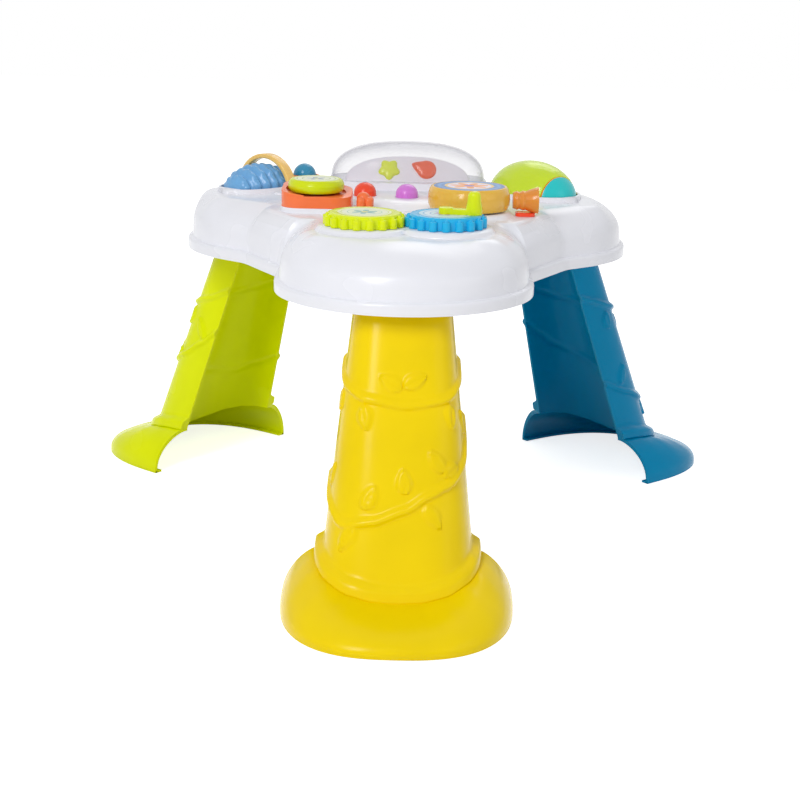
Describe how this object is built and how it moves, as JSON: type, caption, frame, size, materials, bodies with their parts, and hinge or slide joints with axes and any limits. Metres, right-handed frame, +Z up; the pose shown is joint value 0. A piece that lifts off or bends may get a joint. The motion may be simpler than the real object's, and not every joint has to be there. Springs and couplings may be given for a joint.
{
  "type": "musical activity table",
  "caption": "Lobed white activity table top with gears, drums, buttons, rollers and a clear dome, standing on half-round splayed legs.",
  "frame": {"origin": "centre of the footprint on the floor", "axes": "+Z up, -Y towards the front leg, +X to the right of someone facing the front leg"},
  "size_m": [0.704, 0.7166, 0.3818],
  "materials": {
    "white_body": "satin",
    "white_cover": "matt",
    "white_console": "satin",
    "yellow_leg": "satin",
    "blue_leg": "satin",
    "lime_leg": "satin",
    "lime_plastic": "gloss",
    "lime_pad_plastic": "gloss",
    "blue_gear_plastic": "gloss",
    "lime_print": "printed",
    "teal_print": "printed",
    "blue_print": "printed",
    "dark_plastic": "matt",
    "orange_plastic": "gloss",
    "red_plastic": "gloss",
    "purple_plastic": "gloss",
    "yellow_plastic": "gloss",
    "amber_clear": "translucent",
    "clear_plastic": "clear polycarbonate",
    "lime_lens": "translucent",
    "orange_lens": "translucent",
    "lime_clear": "translucent",
    "orange_ring": "gloss",
    "teal_plastic": "gloss",
    "steel": "plated",
    "sky_plastic": "gloss",
    "amber_arch": "gloss",
    "deep_blue_plastic": "gloss",
    "board_green": "matt",
    "cell_wrap": "satin",
    "silicone": "matt"
  },
  "bodies": {
    "table": {"top_shell": "white_body", "deck_panel": "white_body", "bottom_cover": "white_cover", "front_leg": "yellow_leg", "right_leg": "blue_leg", "left_leg": "lime_leg", "pad_base": "orange_plastic", "orange_knob": "orange_plastic", "lime_pad_bellows": "silicone", "amber_drum_bellows": "silicone", "amber_horn": "amber_clear", "horn_base": "red_plastic", "red_bellows": "silicone", "purple_bellows": "silicone", "yellow_bellows": "silicone", "clear_dome": "clear_plastic", "dome_console": "white_console", "star_light": "lime_lens", "drop_light": "orange_lens", "orange_arch": "amber_arch", "spinner_ring": "orange_ring", "circuit_board": "board_green", "board_screws": "steel", "switches": "dark_plastic", "speaker": "dark_plastic", "battery_cells": "cell_wrap", "battery_contacts": "steel", "battery_door": "white_cover", "door_screw": "steel", "case_screws": "steel"},
    "lime_gear_body": {"lime_gear": "lime_plastic", "lime_gear_label": "lime_print", "lime_gear_clip": "dark_plastic"},
    "blue_gear_body": {"blue_gear": "blue_gear_plastic", "blue_gear_label": "teal_print", "blue_gear_clip": "dark_plastic", "crank_handle": "lime_plastic"},
    "lime_pad_body": {"lime_pad": "lime_pad_plastic", "lime_pad_label": "lime_print"},
    "amber_drum_body": {"amber_drum": "amber_clear", "amber_drum_label": "blue_print"},
    "red_button_body": {"red_button": "red_plastic"},
    "purple_button_body": {"purple_button": "purple_plastic"},
    "yellow_button_body": {"yellow_button": "yellow_plastic"},
    "egg_body": {"egg_roller": "lime_clear", "egg_ring": "orange_ring", "egg_cap": "teal_plastic", "egg_axle": "steel"},
    "ribbed_body": {"ribbed_roller": "sky_plastic", "rib_axle": "steel"},
    "ball_body": {"spinner_ball": "deep_blue_plastic"},
    "switch_body": {"power_switch": "dark_plastic"}
  },
  "joints": [
    {"name": "lime_gear_spin", "type": "hinge", "parent": "table", "child": "lime_gear_body", "pos_m": [-0.039, -0.0903, 0.328], "axis": [0, 0, 1], "continuous": true},
    {"name": "blue_gear_spin", "type": "hinge", "parent": "table", "child": "blue_gear_body", "pos_m": [0.039, -0.0903, 0.328], "axis": [0, 0, 1], "continuous": true},
    {"name": "egg_roll", "type": "hinge", "parent": "table", "child": "egg_body", "pos_m": [0.1393, 0.16751, 0.326], "axis": [0.6225, -0.7826, 0], "continuous": true},
    {"name": "ribbed_roll", "type": "hinge", "parent": "table", "child": "ribbed_body", "pos_m": [-0.16602, 0.17087, 0.326], "axis": [-0.6225, -0.7826, 0], "continuous": true},
    {"name": "ball_spin", "type": "hinge", "parent": "table", "child": "ball_body", "pos_m": [-0.11757, 0.21411, 0.339], "axis": [0, 0, 1], "continuous": true},
    {"name": "lime_pad_press", "type": "slide", "parent": "table", "child": "lime_pad_body", "axis": [0, 0, -1], "range_m": [0, 0.0015], "stiffness_N_per_m": 900, "springref_m": -0.00083, "deforming": ["lime_pad_bellows"]},
    {"name": "amber_drum_press", "type": "slide", "parent": "table", "child": "amber_drum_body", "axis": [0, 0, -1], "range_m": [0, 0.0015], "stiffness_N_per_m": 900, "springref_m": -0.00115, "deforming": ["amber_drum_bellows"]},
    {"name": "red_button_press", "type": "slide", "parent": "table", "child": "red_button_body", "axis": [0, 0, -1], "range_m": [0, 0.002], "stiffness_N_per_m": 500, "springref_m": -0.00073, "deforming": ["red_bellows"]},
    {"name": "purple_button_press", "type": "slide", "parent": "table", "child": "purple_button_body", "axis": [0, 0, -1], "range_m": [0, 0.002], "stiffness_N_per_m": 500, "springref_m": -0.00073, "deforming": ["purple_bellows"]},
    {"name": "yellow_button_press", "type": "slide", "parent": "table", "child": "yellow_button_body", "axis": [0, 0, -1], "range_m": [0, 0.002], "stiffness_N_per_m": 500, "springref_m": -0.00073, "deforming": ["yellow_bellows"]},
    {"name": "power_switch_slide", "type": "slide", "parent": "table", "child": "switch_body", "axis": [0, 1, 0], "range_m": [0, 0.004]}
  ],
  "couplings": [
    {"joint": "lime_gear_spin", "follows": "blue_gear_spin", "ratio": -1}
  ]
}
